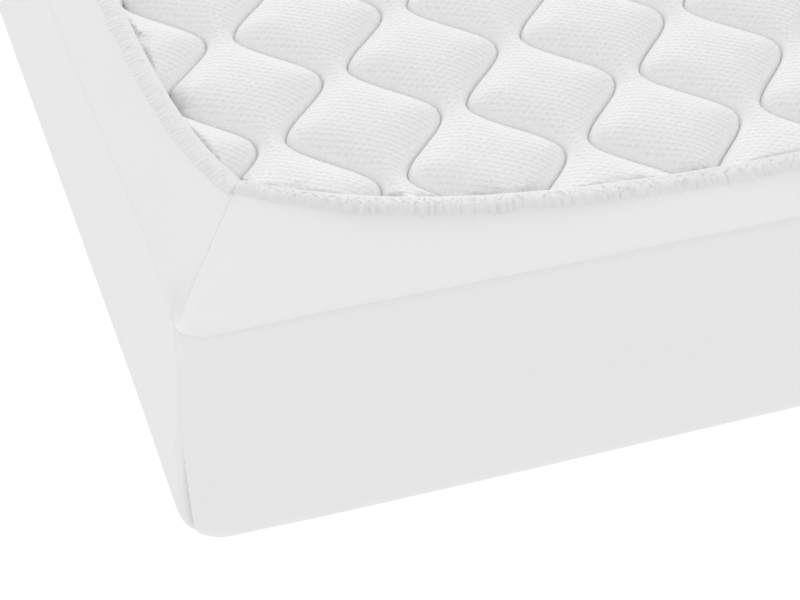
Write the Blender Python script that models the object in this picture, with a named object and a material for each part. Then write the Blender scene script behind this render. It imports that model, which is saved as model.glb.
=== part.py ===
"""A fitted sheet pulled over a single mattress, lying with its hem side up.

The sheet is one cloth: a floor panel, four sides that stand up the mattress, and a
margin turned in over the upper edges to an elastic hem. A seam runs down each corner
and gapes in a small tuck near the floor. The mattress inside it has a quilted face of
ogee cells, which shows through the opening that the hem leaves.

Metres, +Z up, origin on the floor under the middle, X across and Y along the bed.
"""
import math

import bmesh
import bpy

# Overall size
WIDTH = 0.900
LENGTH = 2.000
CORNER_RADIUS = 0.033
CLOTH = 0.0018
MARGIN_TOP = 0.2008

# Section of the sheet from the floor to its upper edge. First two columns: inset from
# the outline and height along a side, where the mattress's edge makes a ridge. Last two:
# the same at a corner, where the cloth is rounder.
SIDE_SECTION = (
    (0.0080, 0.0000, 0.0100, 0.0000),
    (0.0030, 0.0008, 0.0045, 0.0010),
    (0.0000, 0.0036, 0.0010, 0.0042),
    (-0.0020, 0.0090, -0.0012, 0.0095),
    (-0.0025, 0.0160, -0.0020, 0.0160),
    (-0.0025, 0.0310, -0.0020, 0.0310),
    (-0.0022, 0.0520, -0.0018, 0.0520),
    (-0.0018, 0.0780, -0.0015, 0.0780),
    (-0.0010, 0.1060, -0.0010, 0.1060),
    (0.0008, 0.1500, -0.0002, 0.1500),
    (0.0030, 0.1800, 0.0008, 0.1790),
    (0.0030, 0.1905, 0.0014, 0.1895),
    (0.0008, 0.1962, 0.0022, 0.1958),
    (0.0018, 0.2004, 0.0046, 0.1998),
    (0.0058, 0.2022, 0.0090, 0.2012),
    (0.0120, 0.2012, 0.0150, 0.2013),
)
CORNER_REACH = 0.090

# Section of the elastic hem: distance from its inner rim, height over the margin
HEM_WIDTH = 0.0155
HEM_SECTION = (
    (HEM_WIDTH, 0.0000),
    (0.0140, 0.0018),
    (0.0088, 0.0034),
    (0.0032, 0.0035),
    (0.0004, 0.0017),
    (0.0002, -0.0006),
    (0.0020, -CLOTH),
    (HEM_WIDTH, -CLOTH),
)
MARGIN_STEPS = (0.33, 0.70)

# The hem's corner at each bed corner, counter-clockwise from the one at -X -Y:
# distance from the long edge, distance from the short edge
HEM_CORNERS = (
    (0.080, 0.147),
    (0.083, 0.143),
    (0.078, 0.150),
    (0.082, 0.145),
)
# Width of the turned-in margin at mid side, and how fast it narrows to that
SHORT_MARGIN = 0.060
SHORT_EASE = 0.120
LONG_MARGIN = 0.050
LONG_EASE = 0.058
HEM_SWAY = 0.0012

# Corner seam and the tuck in its lower half; angles from the long side, in degrees
SEAM_ANGLE = 30.0
LONG_SIDE_ANGLES = (0.0, 16.0)
SHORT_SIDE_ANGLES = (38.0, 52.0, 70.0, 90.0)
TUCK_DEPTH = 0.0075
TUCK_TOP = 0.110
TUCK_FULL = 0.030

SHORT_SIDE_STEPS = 12
LONG_SIDE_STEPS = 24
SIDE_SWAY = 0.0007
SHORT_SIDE_LEAN = 0.0042

# Mattress
MATTRESS_INSET = 0.0080
MATTRESS_RADIUS = 0.046
MATTRESS_CORNER_STEPS = 6
FLOOR_GAP = 0.0003
BORDER_HEIGHT = 0.1970
MATTRESS_SECTION = (
    (0.0060, BORDER_HEIGHT),
    (0.0022, 0.1945),
    (0.0004, 0.1890),
    (0.0000, 0.1780),
    (0.0000, 0.0180),
    (0.0012, 0.0105),
    (0.0050, 0.0050),
    (0.0140, CLOTH + FLOOR_GAP),
)

# Quilting: stitched zigzag lines run along Y, and neighbours mirror each other
CELL_ACROSS = 0.1413
CELL_ALONG = 0.1345
FIRST_NECK = (-0.3318, -0.6701)
NECK_WIDTH = 0.024
LINE_COUNT = 12
LINE_ROUNDNESS = 0.93
LINE_LIMIT = 0.418
QUILT_HALF_WIDTH = 0.430
ROWS_PER_CELL = 6
FIRST_ROW = -12
LAST_ROW = 73
LANE_STEPS = (0.0, 0.14, 0.5, 0.86)
EDGE_LANE_STEPS = (0.0, 0.5, 0.8)
GROOVE_HEIGHT = 0.1865
CROWN_RISE = 0.0112
CROWN_REACH = 0.045

# Each side of the bed: start corner, direction along it, direction inwards, length
SIDES = (
    ((-WIDTH / 2, -LENGTH / 2), (1, 0), (0, 1), WIDTH),
    ((WIDTH / 2, -LENGTH / 2), (0, 1), (-1, 0), LENGTH),
    ((WIDTH / 2, LENGTH / 2), (-1, 0), (0, -1), WIDTH),
    ((-WIDTH / 2, LENGTH / 2), (0, -1), (1, 0), LENGTH),
)
CORNER_SIGNS = ((-1, -1), (1, -1), (1, 1), (-1, 1))


def clear_scene():
    for item in list(bpy.data.objects):
        bpy.data.objects.remove(item, do_unlink=True)


def fabric(name, colour, roughness):
    material = bpy.data.materials.new(name)
    material.use_nodes = True
    shader = material.node_tree.nodes["Principled BSDF"]
    shader.inputs["Base Color"].default_value = (*colour, 1.0)
    shader.inputs["Roughness"].default_value = roughness
    shader.inputs["Metallic"].default_value = 0.0
    return material


def add_object(name, mesh_builder, material, sharp_angle):
    """Link one closed mesh as an object of its own, shaded smooth but for its creases."""
    mesh = bpy.data.meshes.new(name)
    mesh_builder.to_mesh(mesh)
    mesh_builder.free()
    mesh.materials.append(material)
    mesh.shade_smooth()
    mesh.set_sharp_from_angle(angle=math.radians(sharp_angle))
    item = bpy.data.objects.new(name, mesh)
    bpy.context.scene.collection.objects.link(item)
    return item


def join_rings(builder, rings):
    """Put a strip of quads between each ring of vertices and the next."""
    for lower, upper in zip(rings, rings[1:]):
        count = len(lower)
        for i in range(count):
            j = (i + 1) % count
            builder.faces.new((lower[i], lower[j], upper[j], upper[i]))


# ---------------------------------------------------------------- outline of the bed

def corner_place(corner, angle, inset, radius, half_width, half_length):
    """Point on a rounded corner; angle 0 is the long side's end, 90 the short side's."""
    sign_x, sign_y = CORNER_SIGNS[corner]
    turn = math.radians(angle)
    reach = radius - inset
    return (
        sign_x * (half_width - radius + reach * math.cos(turn)),
        sign_y * (half_length - radius + reach * math.sin(turn)),
    )


def eased(fraction):
    """Spread steps along a side, closer together towards its two corners."""
    return 0.5 * fraction + 0.25 * (1 - math.cos(math.pi * fraction))


class Station:
    """One place on the sheet's outline, where its whole section is drawn."""

    def __init__(self, side, along, corner=None, angle=None):
        self.side = side
        self.along = along
        self.corner = corner
        self.angle = angle
        self.is_seam = angle == SEAM_ANGLE

    def place(self, inset):
        if self.corner is not None:
            return corner_place(
                self.corner, self.angle, inset, CORNER_RADIUS, WIDTH / 2, LENGTH / 2)
        (x, y), (ax, ay), (ix, iy), _ = SIDES[self.side]
        return (x + ax * self.along + ix * inset, y + ay * self.along + iy * inset)

    def hem_fraction(self):
        """Share of the way from one corner seam to the next, round the outline."""
        length = SIDES[self.side][3]
        arc = math.radians(90 - SEAM_ANGLE if self.side % 2 == 0 else SEAM_ANGLE)
        lead = CORNER_RADIUS * arc
        straight = length - 2 * CORNER_RADIUS
        total = straight + 2 * lead
        if self.corner is None:
            return (lead + self.along - CORNER_RADIUS) / total
        from_seam = CORNER_RADIUS * math.radians(abs(self.angle - SEAM_ANGLE))
        starts_here = self.corner == self.side
        return (from_seam if starts_here else total - from_seam) / total


def outline_stations():
    """Stations counter-clockwise from the seam of the corner at -X -Y."""
    stations = []
    for side in range(4):
        is_short = side % 2 == 0
        angles = SHORT_SIDE_ANGLES if is_short else tuple(reversed(LONG_SIDE_ANGLES))
        steps = SHORT_SIDE_STEPS if is_short else LONG_SIDE_STEPS
        straight = SIDES[side][3] - 2 * CORNER_RADIUS
        next_corner = (side + 1) % 4
        stations.append(Station(side, 0.0, side, SEAM_ANGLE))
        stations.extend(Station(side, 0.0, side, angle) for angle in angles)
        for step in range(1, steps):
            along = CORNER_RADIUS + straight * eased(step / steps)
            stations.append(Station(side, along))
        for angle in reversed(angles):
            stations.append(Station(side, 0.0, next_corner, angle))
    return stations


# ---------------------------------------------------------------- the sheet

def hem_rim(side, fraction):
    """The hem's inner rim in plan, from one corner seam to the next."""
    (x, y), (ax, ay), (ix, iy), length = SIDES[side]
    is_short = side % 2 == 0
    start = HEM_CORNERS[side]
    end = HEM_CORNERS[(side + 1) % 4]
    along_start, in_start = start if is_short else start[::-1]
    along_end, in_end = end if is_short else end[::-1]
    margin = SHORT_MARGIN if is_short else LONG_MARGIN
    ease = SHORT_EASE if is_short else LONG_EASE
    span = length - along_start - along_end
    from_start = span * fraction
    from_end = span - from_start
    depth = margin
    depth += (in_start - margin) * math.exp(-from_start / ease)
    depth += (in_end - margin) * math.exp(-from_end / ease)
    sway = math.sin(math.pi * fraction) * math.sin((5.3 + side) * fraction + 1.7 * side)
    depth += HEM_SWAY * sway
    along = along_start + from_start
    return (x + ax * along + ix * depth, y + ay * along + iy * depth)


def hem_outward(side, fraction):
    """Unit vector in plan, square to the hem and away from the opening."""
    step = 0.002
    ahead = hem_rim(side, min(fraction + step, 1.0))
    behind = hem_rim(side, max(fraction - step, 0.0))
    run = (ahead[0] - behind[0], ahead[1] - behind[1])
    size = math.hypot(*run)
    return (run[1] / size, -run[0] / size)


def seam_outward(corner):
    """At a corner seam the hem's two ends meet on the line between their directions."""
    before = hem_outward((corner - 1) % 4, 1.0)
    after = hem_outward(corner, 0.0)
    mid = (before[0] + after[0], before[1] + after[1])
    size = math.hypot(*mid)
    half_turn = size / 2
    return (mid[0] / size / half_turn, mid[1] / size / half_turn)


def tuck(height):
    """Depth of the seam's tuck: none above TUCK_TOP, full at TUCK_FULL, less at the floor."""
    if height >= TUCK_TOP:
        return 0.0
    if height >= TUCK_FULL:
        share = (TUCK_TOP - height) / (TUCK_TOP - TUCK_FULL)
        return TUCK_DEPTH * share * share * (3 - 2 * share)
    return TUCK_DEPTH * (0.35 + 0.65 * height / TUCK_FULL)


def side_inset(station, inset, height):
    """Add the short sides' lean, the seam's tuck and the sides' slight unevenness."""
    lean = SHORT_SIDE_LEAN * (1 - height / MARGIN_TOP)
    if station.corner is not None:
        inset -= lean * math.sin(math.radians(station.angle))
        return inset + tuck(height) if station.is_seam else inset
    if station.side % 2 == 0:
        inset -= lean
    share = math.sin(math.pi * station.hem_fraction())
    rise = math.sin(math.pi * min(height / MARGIN_TOP, 1.0))
    wave = math.sin(4.6 * station.along + station.side) + math.sin(9.7 * station.along)
    return inset + SIDE_SWAY * share * rise * wave


def outer_section(station):
    """The sheet's outer section here, between that of a side and that of a corner."""
    share = 1.0
    if station.corner is None:
        length = SIDES[station.side][3]
        beyond = min(station.along, length - station.along) - CORNER_RADIUS
        lack = max(0.0, 1 - beyond / CORNER_REACH)
        share = lack * lack * (3 - 2 * lack)
    return [
        (
            side[0] + (side[2] - side[0]) * share,
            side[1] + (side[3] - side[1]) * share,
        )
        for side in SIDE_SECTION
    ]


def inner_section(rows, thickness):
    """Offset the outer section towards the mattress by the cloth's thickness."""
    result = []
    for i, (inset, height) in enumerate(rows):
        before = rows[max(i - 1, 0)]
        after = rows[min(i + 1, len(rows) - 1)]
        run = (after[0] - before[0], after[1] - before[1])
        size = math.hypot(*run)
        result.append((
            inset + thickness * run[1] / size,
            height - thickness * run[0] / size,
        ))
    return result


def sheet_section(station):
    """All points of one section: up the outside, over the hem and down the inside."""
    fraction = station.hem_fraction()
    rim = hem_rim(station.side, fraction)
    out = hem_outward(station.side, fraction)
    if station.is_seam:
        rim = hem_rim(station.side, 0.0)
        out = seam_outward(station.corner)

    def skin(rows):
        points = []
        for inset, height in rows:
            x, y = station.place(side_inset(station, inset, height))
            points.append((x, y, height))
        return points

    def hem_place(offset, rise):
        return (rim[0] + out[0] * offset, rim[1] + out[1] * offset, MARGIN_TOP + rise)

    section = outer_section(station)
    outer = skin(section)
    inner = skin(inner_section(section, CLOTH))
    hem = [hem_place(offset, rise) for offset, rise in HEM_SECTION]

    def margin(edge, foot):
        return [
            (
                edge[0] + (foot[0] - edge[0]) * step,
                edge[1] + (foot[1] - edge[1]) * step,
                foot[2],
            )
            for step in MARGIN_STEPS
        ]

    over = margin(outer[-1], hem[0])
    under = margin(inner[-1], hem[-1])
    return outer + over + hem + under[::-1] + inner[::-1]


def build_sheet(material):
    builder = bmesh.new()
    sections = [sheet_section(station) for station in outline_stations()]
    rings = [
        [builder.verts.new(section[row]) for section in sections]
        for row in range(len(sections[0]))
    ]
    join_rings(builder, rings)
    builder.faces.new(rings[0][::-1])
    builder.faces.new(rings[-1])
    builder.normal_update()
    return add_object("sheet", builder, material, 50)


# ---------------------------------------------------------------- the mattress

def zigzag(phase):
    """Rounded zigzag of period 1, +1 at whole numbers and -1 half way between them."""
    bend = math.asin(LINE_ROUNDNESS * math.cos(2 * math.pi * phase))
    return bend / math.asin(LINE_ROUNDNESS)


def stitch_line(index, y):
    """Where stitched line number index crosses this y."""
    middle = FIRST_NECK[0] + (index - 0.5) * CELL_ACROSS / 2
    swing = CELL_ACROSS / 4 - NECK_WIDTH / 2
    phase = (y - FIRST_NECK[1]) / CELL_ALONG + index % 2 / 2
    x = middle + swing * zigzag(phase)
    return max(-LINE_LIMIT, min(LINE_LIMIT, x))


def crown(distance):
    """Share of the full rise at this distance from the nearest stitched line."""
    lack = 1 - min(distance / CROWN_REACH, 1.0)
    return 1 - lack * lack


def quilt_row(y, is_end):
    """Points across the quilted face at one y: grooves at the lines, crowns between."""
    lines = [stitch_line(index, y) for index in range(LINE_COUNT)]
    points = []

    def add(x, distance):
        is_border = is_end or abs(x) == QUILT_HALF_WIDTH
        height = BORDER_HEIGHT if is_border else GROOVE_HEIGHT + CROWN_RISE * crown(distance)
        points.append((x, y, height))

    for step in EDGE_LANE_STEPS:
        x = -QUILT_HALF_WIDTH + (lines[0] + QUILT_HALF_WIDTH) * step
        add(x, lines[0] - x)
    for left, right in zip(lines, lines[1:]):
        for step in LANE_STEPS:
            add(left + (right - left) * step, (right - left) * min(step, 1 - step))
    add(lines[-1], 0.0)
    for step in reversed(EDGE_LANE_STEPS):
        x = QUILT_HALF_WIDTH + (lines[-1] - QUILT_HALF_WIDTH) * step
        add(x, x - lines[-1])
    return points


def mattress_ring(inset):
    """The mattress's outline in plan, rounded at its corners."""
    half_width = WIDTH / 2 - MATTRESS_INSET
    half_length = LENGTH / 2 - MATTRESS_INSET
    ring = []
    for corner in range(4):
        for step in range(MATTRESS_CORNER_STEPS + 1):
            angle = 90 * step / MATTRESS_CORNER_STEPS
            if corner % 2 == 1:
                angle = 90 - angle
            ring.append(corner_place(
                corner, angle, inset, MATTRESS_RADIUS, half_width, half_length))
    return ring


def build_mattress(material):
    builder = bmesh.new()
    grid = []
    for row in range(FIRST_ROW, LAST_ROW + 1):
        y = FIRST_NECK[1] + row * CELL_ALONG / ROWS_PER_CELL
        is_end = row in (FIRST_ROW, LAST_ROW)
        grid.append([builder.verts.new(point) for point in quilt_row(y, is_end)])
    for near, far in zip(grid, grid[1:]):
        for i in range(len(near) - 1):
            builder.faces.new((near[i], near[i + 1], far[i + 1], far[i]))

    rings = []
    for inset, height in MATTRESS_SECTION:
        rings.append([builder.verts.new((x, y, height)) for x, y in mattress_ring(inset)])
    join_rings(builder, rings[::-1])
    builder.faces.new(rings[-1][::-1])

    # The flat border between the quilted field and the upper edge
    builder.edges.ensure_lookup_table()
    open_edges = [edge for edge in builder.edges if edge.is_boundary]
    bmesh.ops.triangle_fill(builder, edges=open_edges, use_beauty=True)
    bmesh.ops.recalc_face_normals(builder, faces=builder.faces)
    builder.normal_update()
    return add_object("mattress", builder, material, 28)


def main():
    clear_scene()
    sheet_cloth = fabric("sheet_cloth", (0.90, 0.90, 0.90), 0.85)
    ticking = fabric("mattress_ticking", (0.92, 0.92, 0.93), 0.80)
    build_sheet(sheet_cloth)
    build_mattress(ticking)


main()
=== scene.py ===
"""Looks of a fitted sheet on a mattress that lies with its hem side up.

The sheet is drawn as one thin cloth: floor panel, sides, turned-in margin, corner seams
with a tuck near the floor, and a gathered elastic hem. The mattress in it is quilted in
ogee cells and covered with honeycomb knit. Metres, in the frame of the solids.
"""
import math

import bmesh
import bpy
import numpy as np
from mathutils import Matrix, Vector


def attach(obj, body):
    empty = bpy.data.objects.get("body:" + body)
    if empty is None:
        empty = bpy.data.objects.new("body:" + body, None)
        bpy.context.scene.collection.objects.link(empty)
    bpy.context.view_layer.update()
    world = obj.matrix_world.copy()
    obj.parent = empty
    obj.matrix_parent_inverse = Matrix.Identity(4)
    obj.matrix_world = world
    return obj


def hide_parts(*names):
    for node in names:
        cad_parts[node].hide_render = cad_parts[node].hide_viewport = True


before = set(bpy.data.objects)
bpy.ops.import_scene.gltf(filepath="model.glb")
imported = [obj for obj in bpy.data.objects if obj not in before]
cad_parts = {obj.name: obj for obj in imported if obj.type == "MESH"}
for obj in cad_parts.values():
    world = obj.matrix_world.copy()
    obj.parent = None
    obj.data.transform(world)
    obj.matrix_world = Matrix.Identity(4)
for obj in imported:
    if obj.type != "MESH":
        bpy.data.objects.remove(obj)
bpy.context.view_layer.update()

# ---------------- sizes of the sheet

WIDTH = 0.900
LENGTH = 2.000
CLOTH = 0.0012

# Each side of the bed: start corner, direction along it, direction inwards, length
SIDES = (
    ((-WIDTH / 2, -LENGTH / 2), (1, 0), (0, 1), WIDTH),
    ((WIDTH / 2, -LENGTH / 2), (0, 1), (-1, 0), LENGTH),
    ((WIDTH / 2, LENGTH / 2), (-1, 0), (0, -1), WIDTH),
    ((-WIDTH / 2, LENGTH / 2), (0, -1), (1, 0), LENGTH),
)
CORNER_SIGNS = ((-1, -1), (1, -1), (1, 1), (-1, 1))
# Kinds of side, for values that differ between them
SHORT, LONG = True, False

# Corner of the outline in plan: rounder at the floor than at the upper edge
FLOOR_RADIUS = 0.029
UPPER_RADIUS = 0.018
SHARPER_FROM = 0.070
# Where the corner seam stands on the rounded corner, from the long side's end of it
SEAM_ANGLE_FLOOR = 40.0
SEAM_ANGLE_TOP = 9.0
SEAM_TURN = 1.5

# Section of the sides from the floor up: inset and height mid side, then at a corner
SIDE_SECTION = (
    (0.0080, 0.0000, 0.0100, 0.0000),
    (0.0030, 0.0008, 0.0045, 0.0010),
    (0.0000, 0.0036, 0.0010, 0.0042),
    (-0.0020, 0.0090, -0.0012, 0.0095),
    (-0.0025, 0.0160, -0.0020, 0.0160),
    (-0.0025, 0.0310, -0.0020, 0.0310),
    (-0.0022, 0.0520, -0.0018, 0.0520),
    (-0.0018, 0.0780, -0.0015, 0.0780),
    (-0.0010, 0.1060, -0.0008, 0.1060),
    (0.0004, 0.1400, -0.0003, 0.1380),
    (0.0024, 0.1650, 0.0002, 0.1620),
    (0.0034, 0.1800, 0.0006, 0.1760),
    (0.0038, 0.1880, 0.0008, 0.1830),
)
SECTION_STEPS = 3
CORNER_REACH = 0.090
# The short sides' foot stands out, less so by the corners, and the long sides' only there
SHORT_SIDE_LEAN = 0.0042
LEAN_BY_CORNER = 0.55
LEAN_REACH = 0.30
LONG_FOOT_PUSH = 0.0021
LONG_FOOT_REACH = 0.085
# Slow unevenness of the sides: size, waves in radians per metre, share of the finest one
SIDE_SWAY = 0.0006
SIDE_SWAY_WAVES = (4.6, 9.7, 23.0)
SIDE_SWAY_FINEST = 0.4

# Rounding of the upper edge: way in from the side and fall below the margin, mid side
# and then at a corner
EDGE_HEIGHT = 0.2012
EDGE_SECTION = (
    (0.0000, 0.0075, 0.0000, 0.0030),
    (0.0001, 0.0056, 0.0001, 0.0022),
    (0.0003, 0.0038, 0.0002, 0.0015),
    (0.0007, 0.0023, 0.0003, 0.0009),
    (0.0013, 0.0012, 0.0005, 0.0005),
    (0.0021, 0.0005, 0.0008, 0.0002),
    (0.0032, 0.0001, 0.0012, 0.0001),
    (0.0050, 0.0000, 0.0020, 0.0000),
)
EDGE_STEPS = 3
EDGE_LEAST_RISE = 0.001
EDGE_CORNER_REACH = 0.050
EDGE_CORNER_SHARE = 0.9
# The upper edge bows out between the corners: how far, and how soon
EDGE_BOW = {SHORT: (0.0060, 0.40), LONG: (0.0075, 0.20)}
EDGE_BOW_FROM = 0.110
# The short sides stand straight up away from the corners, and each corner's top sticks out
SHORT_PUSH = 0.0049
SHORT_PUSH_REACH = 0.045
CORNER_POINT = 0.0034
CORNER_POINT_REACH = 0.016
CORNER_POINT_FROM = 0.145

# The hem's corner at each bed corner, counter-clockwise from the one at -X -Y:
# distance from the long edge, distance from the short edge
HEM_CORNERS = (
    (0.0810, 0.1460),
    (0.0830, 0.1430),
    (0.0780, 0.1500),
    (0.0820, 0.1450),
)
# Width of the margin between the corners, and the way over which it narrows to that
MARGIN = 0.0505
MARGIN_EASE = {SHORT: 0.1335, LONG: 0.0730}
# Unevenness of the rim: size, wave over a side in radians, and its shift from side to side
HEM_SWAY = 0.0010
HEM_SWAY_WAVE = 5.3
HEM_SWAY_PHASE = 1.7
# Share of a side over which the rim's direction is taken
RIM_STEP = 0.002
MARGIN_TOP = 0.2008
MARGIN_ROWS = 12
MARGIN_END = 0.006
# Unevenness of the margin: size, and waves in radians per metre
MARGIN_WAVE = 0.00025
MARGIN_WAVES = (11.0, 31.0)
# The seam's and the corner valley's hollows fade in over this way in from the side
HOLLOWS_FROM = 0.006

# Sections round the sheet, closest together at the corner seams
SEAM_FIRST_STEP = 0.0003
SEAM_STEP_GROWTH = 1.2
WIDEST_STEP = 0.012
# Corner seams: a fine groove where the stitching shows, a soft hollow under the corner;
# a band is the heights it lies between and the way over which it fades
SEAM_GROOVE = 0.00040
SEAM_GROOVE_WIDTH = 0.0008
SEAM_GROOVE_BAND = (0.112, 0.158, 0.014)
SEAM_HOLLOW = 0.0013
SEAM_HOLLOW_WIDTH = 0.0045
SEAM_HOLLOW_BAND = (0.146, 0.200, 0.016)
# Both end this far in over the upper edge
SEAM_TO = 0.003
# On the turned-in margin the long side's cloth lies lower by the seam, fully so from a
# share of the way in to the hem
FLAP_GROOVE = 0.00015
FLAP_HOLLOW = 0.0005
FLAP_HOLLOW_REACH = 0.0045
FLAP_HOLLOW_LEAST = 0.3
FLAP_FULL_FROM = 0.35
# The tuck is a pocket behind the front side's edge, wider towards the floor
TUCK_DEPTH = 0.0125
TUCK_TOP = 0.086
TUCK_FULL = 0.030
TUCK_FLOOR = 0.015
TUCK_WALL = 0.0005
TUCK_LIP = 0.0007
TUCK_LIP_REACH = 0.004
TUCK_REACH = (0.0012, 0.0048)
TUCK_CURVE = 1.7
# Shallow valley in the margin from each corner inwards: start out past the long edge and
# in from the short edge, depth, length, width at both ends, slant, and the share of the
# depth at the start with the way to full depth
VALLEY_PLACE = (0.001, 0.012)
VALLEY_DEPTH = 0.0038
VALLEY_LENGTH = 0.052
VALLEY_WIDTH = (0.0045, 0.0085)
VALLEY_SLANT = 0.22
VALLEY_START = (0.35, 0.016)
# Line pressed into the cloth along the long sides' upper edges, away from the corners
EDGE_LINE = 0.00050
EDGE_LINE_PLACE = 0.0012
EDGE_LINE_WIDTH = 0.0017
EDGE_LINE_BAND = (0.045, 0.120)

# Elastic hem: its width between the corners and by a corner
HEM_WIDTH = {SHORT: 0.0182, LONG: 0.0162}
HEM_WIDTH_CORNER = {SHORT: 0.0125, LONG: 0.0170}
HEM_WIDTH_REACH = 0.095
# Round one section: share of the width from the rim, height over the margin on the short
# and on the long sides, and share of the gathers
HEM_SECTION = (
    (0.55, -0.0012, -0.0012, 0.0),
    (0.12, -0.0013, -0.0013, 0.0),
    (0.02, -0.0008, -0.0008, 0.0),
    (0.00, 0.0003, 0.0003, 0.0),
    (0.00, 0.0016, 0.0014, 0.0),
    (0.012, 0.0026, 0.0023, 0.0),
    (0.035, 0.0032, 0.0028, 0.0),
    (0.07, 0.0035, 0.0030, 0.05),
    (0.12, 0.0037, 0.0030, 0.2),
    (0.18, 0.0039, 0.0029, 0.5),
    (0.25, 0.0041, 0.0028, 0.9),
    (0.32, 0.0043, 0.0028, 1.0),
    (0.39, 0.0045, 0.0029, 1.0),
    (0.46, 0.0046, 0.0029, 1.0),
    (0.53, 0.0046, 0.0028, 1.0),
    (0.60, 0.0045, 0.0026, 1.0),
    (0.67, 0.0041, 0.0023, 1.0),
    (0.74, 0.0034, 0.0019, 1.0),
    (0.80, 0.0026, 0.0014, 1.0),
    (0.86, 0.0017, 0.0010, 1.0),
    (0.91, 0.0009, 0.0006, 0.8),
    (0.96, 0.0002, 0.0002, 0.4),
    (1.00, -0.0005, -0.0004, 0.0),
)
HEM_STEPS = {SHORT: 2, LONG: 1}
# Way from section to section, and the points by which the rim's length is measured
HEM_SAMPLE = 0.00055
RIM_SAMPLES = 400
# Gathers, puckers and stitches begin over this way from a corner seam
HEM_SETTLED = 0.006
# The short sides' hem rolls up between the corners and the middle of the side
HEM_ROLL_REACH = 0.075
HEM_ROLL_END = (0.20, 0.32)
HEM_ROLL_LEAST = 0.25
HEM_SEED = 11
# Puckers: distance apart, greatest depth, place of their middle and half length as shares
# of the width, half width, and spread of the slant
CURLS = ((0.0006, 0.0017), 0.0021, (0.18, 0.58), (0.05, 0.11), (0.0004, 0.0008), 0.0012)
STREAKS = ((0.0012, 0.0034), 0.0016, (0.60, 0.90), (0.16, 0.30), (0.0004, 0.0009), 0.0005)
CRIMPS = ((0.0009, 0.0021), 0.0010, (0.28, 0.78), (0.12, 0.34), (0.0003, 0.0006), 0.0006)
PUCKERS = {SHORT: (CURLS, STREAKS), LONG: (CRIMPS,)}
# Mix of slight and deep puckers, as a beta distribution, reach of each in half widths, and
# the low ridge on both sides of it: height, and width in half widths
PUCKER_MIX = (1.5, 2.2)
PUCKER_REACH = 6
PUCKER_RIDGE = (0.3, 2.2)
# Gathers of the loose outer part, with sharp valleys between them: distance apart, height,
# and how far they push the outer edge out and in
GATHER_PITCH = {SHORT: (0.0045, 0.0110), LONG: (0.0020, 0.0060)}
GATHER_HEIGHT = {SHORT: 0.0010, LONG: 0.0004}
SCALLOP = {SHORT: 0.0044, LONG: 0.0014}
# Their sizes, their mean, their share where the hem lies flat, and where in the width the
# height sets in and the push is full
GATHER_SIZES = (0.3, 1.0)
GATHER_MEAN = 0.4
GATHER_FLAT = 0.4
GATHER_BAND = (0.25, 0.65)
SCALLOP_FULL = 0.8
# Slower drift of the width
WIDTH_PITCH = (0.012, 0.030)
WIDTH_DRIFT = 0.0005
# Stitches along the elastic: place and half width as shares of the hem's width
STITCH_PITCH = 0.0026
STITCH_DEPTH = 0.00028
STITCH_LINE = 0.41
STITCH_WIDTH = 0.05
# The four hems meet at the corner seams in mitred, slightly lowered ends
HEM_MITRE = 0.010
HEM_END_DROP = 0.0006
HEM_END_REACH = 0.0012

# ---------------- sizes of the mattress

MATTRESS_INSET = 0.0080
MATTRESS_RADIUS = 0.046
MATTRESS_CORNER_STEPS = 8
BORDER_HEIGHT = 0.1970
MATTRESS_SECTION = (
    (0.0060, BORDER_HEIGHT),
    (0.0022, 0.1945),
    (0.0004, 0.1890),
    (0.0000, 0.1780),
    (0.0000, 0.0180),
    (0.0012, 0.0105),
    (0.0050, 0.0050),
    (0.0140, 0.0021),
)
# Ogee cells between stitched lines that swing to and fro and nearly meet at the necks
CELL_ACROSS = 0.1435
CELL_ALONG = 0.1369
QUILT_SKEW = 0.0173
FIRST_NECK = (-0.3328, -0.6685)
NECK_WIDTH = 0.0227
NECK_STAGGER = 0.00115
LINE_COUNT = 12
LINE_ROUNDNESS = 0.70
LINE_LIMIT = 0.418
LINE_STEP = 0.0005
# Unevenness of the lines: size, and two waves, each in radians per metre and per line
LINE_WANDER = 0.0006
LINE_WAVES = ((37.0, 2.1), (13.0, 1.0))
# Mesh of the quilted face: rows along the bed, and columns as shares of the way from line
# to line and from the border to the first line
QUILT_HALF_WIDTH = 0.430
ROWS_PER_CELL = 21
FIRST_ROW = -42
LAST_ROW = 250
LANE_STEPS = (
    0.0, 0.008, 0.02, 0.045, 0.09, 0.17, 0.28, 0.42,
    0.58, 0.72, 0.83, 0.91, 0.955, 0.98, 0.992,
)
EDGE_LANE_STEPS = (0.0, 0.22, 0.32, 0.42, 0.52, 0.62, 0.72, 0.82, 0.91, 0.97)
# Section across a cell: a narrow slit along the stitching, then an even arch
GROOVE_HEIGHT = 0.1862
SLIT_DEPTH = 0.0042
SLIT_WIDTH = 0.0009
CROWN_RISE = 0.0112
CROWN_REACH = 0.045
CROWN_CURVE = 3
# Unevenness of the crowns: size, and two waves, each in radians per metre and per lane
CROWN_VARIETY = 0.0005
CROWN_WAVES = ((23.4, 2.3), (9.0, 5.1))
# The elastic presses into the quilting: height under the rim, the steep shoulder inside it
# and the fall under the margin
PRESSED_HEIGHT = 0.1983
SHOULDER_RISE = 0.0047
SHOULDER = (0.0022, 0.0050)
COVERED_FALL = 0.0033
COVERED_REACH = 0.020
# The faces' middles lie in this band from the rim where the mesh is finest
RIM_BAND = (-0.0005, 0.0055)
# Cuts in each edge when the mesh is made finer: with the gaps, then by the rim alone
FINER_CUTS = ((2, True), (1, False))
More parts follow.
